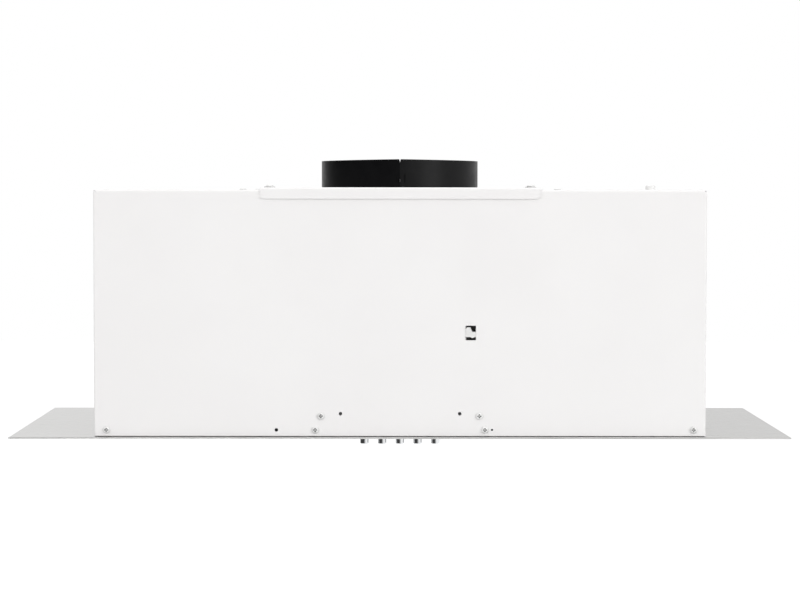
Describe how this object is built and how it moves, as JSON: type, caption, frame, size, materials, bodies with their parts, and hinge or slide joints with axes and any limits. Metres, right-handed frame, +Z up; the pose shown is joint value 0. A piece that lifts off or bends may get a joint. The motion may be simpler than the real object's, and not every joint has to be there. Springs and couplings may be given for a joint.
{
  "type": "built-in range hood",
  "caption": "Built-in range hood: white steel box on a wide brushed stainless flange, black round duct collar on top, and a row of chromed push buttons at the front edge.",
  "frame": {"origin": "centre of the cabinet cut-out, in the plane of the flange's upper face", "axes": "+Z up, +X to the right as seen from the front, -Y towards the user in front of the hood"},
  "size_m": [0.7, 0.29, 0.2576],
  "materials": {
    "white_steel": "satin",
    "stainless": "brushed",
    "galvanised": "matte",
    "black_steel": "matte",
    "zinc_screws": "satin",
    "black_plastic": "satin",
    "grey_plastic": "matte",
    "white_plastic": "gloss",
    "chromed_plastic": "polished",
    "frosted_glass": "frosted",
    "aluminium": "satin",
    "knitted_mesh": "matte",
    "spring_steel": "satin",
    "motor_iron": "matte",
    "foam_rubber": "matte"
  },
  "bodies": {
    "hood": {"back_wall": "white_steel", "blower_deck": "galvanised", "bracket_bolts": "zinc_screws", "bracket_bushes": "foam_rubber", "cable_gland": "white_plastic", "capacitor_strap": "galvanised", "casing_screws": "zinc_screws", "catch_spring_left": "spring_steel", "catch_spring_right": "spring_steel", "collar_half_left": "black_plastic", "collar_half_right": "black_plastic", "control_box": "white_plastic", "control_lid": "white_plastic", "damper_rod": "spring_steel", "deck_rivets": "zinc_screws", "end_panel_left": "white_steel", "end_panel_right": "white_steel", "front_wall": "white_steel", "inlet_guard": "black_plastic", "lamp_bezel_left": "chromed_plastic", "lamp_bezel_right": "chromed_plastic", "lamp_clip_left": "spring_steel", "lamp_clip_right": "spring_steel", "lamp_lens_left": "frosted_glass", "lamp_lens_right": "frosted_glass", "motor": "motor_iron", "motor_bracket": "galvanised", "motor_plate": "white_steel", "mounting_frame": "black_steel", "plate_gasket": "foam_rubber", "plate_screws": "zinc_screws", "roof_panel": "white_steel", "run_capacitor": "white_plastic", "scroll_band": "galvanised", "scroll_cheek_left": "galvanised", "scroll_cheek_right": "galvanised", "switch_bank": "black_plastic", "switch_bracket": "galvanised", "underside_tray": "stainless"},
    "rotor": {"impeller": "grey_plastic", "motor_shaft": "spring_steel", "wheel_nut": "zinc_screws"},
    "flap_left": {"damper_flap_left": "black_plastic"},
    "flap_right": {"damper_flap_right": "black_plastic"},
    "push_off": {"button_off": "chromed_plastic"},
    "push_low": {"button_low": "chromed_plastic"},
    "push_medium": {"button_medium": "chromed_plastic"},
    "push_high": {"button_high": "chromed_plastic"},
    "push_light": {"button_light": "chromed_plastic"},
    "filter_left": {"filter_frame_left": "aluminium", "filter_net_left": "aluminium", "filter_pad_left": "knitted_mesh", "latch_spring_left": "spring_steel"},
    "latch_left": {"filter_latch_left": "black_plastic"},
    "filter_right": {"filter_frame_right": "aluminium", "filter_net_right": "aluminium", "filter_pad_right": "knitted_mesh", "latch_spring_right": "spring_steel"},
    "latch_right": {"filter_latch_right": "black_plastic"}
  },
  "joints": [
    {"name": "press_off", "type": "slide", "parent": "hood", "child": "push_off", "axis": [0, 0, 1], "range_m": [0, 0.0035], "stiffness_N_per_m": 300, "springref_m": -0.002},
    {"name": "press_low", "type": "slide", "parent": "hood", "child": "push_low", "axis": [0, 0, 1], "range_m": [0, 0.0035], "stiffness_N_per_m": 300, "springref_m": -0.002},
    {"name": "press_medium", "type": "slide", "parent": "hood", "child": "push_medium", "axis": [0, 0, 1], "range_m": [0, 0.0035], "stiffness_N_per_m": 300, "springref_m": -0.002},
    {"name": "press_high", "type": "slide", "parent": "hood", "child": "push_high", "axis": [0, 0, 1], "range_m": [0, 0.0035], "stiffness_N_per_m": 300, "springref_m": -0.002},
    {"name": "press_light", "type": "slide", "parent": "hood", "child": "push_light", "axis": [0, 0, 1], "range_m": [0, 0.0035], "stiffness_N_per_m": 300, "springref_m": -0.002},
    {"name": "flap_left_lift", "type": "hinge", "parent": "hood", "child": "flap_left", "pos_m": [0, 0.018, 0.2297], "axis": [0, 1, 0], "range_deg": [0, 70]},
    {"name": "flap_right_lift", "type": "hinge", "parent": "hood", "child": "flap_right", "pos_m": [0, 0.018, 0.2297], "axis": [0, -1, 0], "range_deg": [0, 70]},
    {"name": "wheel_spin", "type": "hinge", "parent": "hood", "child": "rotor", "pos_m": [0, -0.047, 0.1115], "axis": [1, 0, 0], "continuous": true},
    {"name": "filter_left_swing", "type": "hinge", "parent": "hood", "child": "filter_left", "pos_m": [-0.1315, 0.117, 0.0016], "axis": [1, 0, 0], "range_deg": [0, 75], "deforming": ["catch_spring_left"]},
    {"name": "latch_left_pull", "type": "slide", "parent": "filter_left", "child": "latch_left", "axis": [0, 1, 0], "range_m": [0, 0.006], "stiffness_N_per_m": 250, "springref_m": -0.003, "deforming": ["latch_spring_left"]},
    {"name": "filter_right_swing", "type": "hinge", "parent": "hood", "child": "filter_right", "pos_m": [0.1315, 0.117, 0.0016], "axis": [1, 0, 0], "range_deg": [0, 75], "deforming": ["catch_spring_right"]},
    {"name": "latch_right_pull", "type": "slide", "parent": "filter_right", "child": "latch_right", "axis": [0, 1, 0], "range_m": [0, 0.006], "stiffness_N_per_m": 250, "springref_m": -0.003, "deforming": ["latch_spring_right"]}
  ]
}
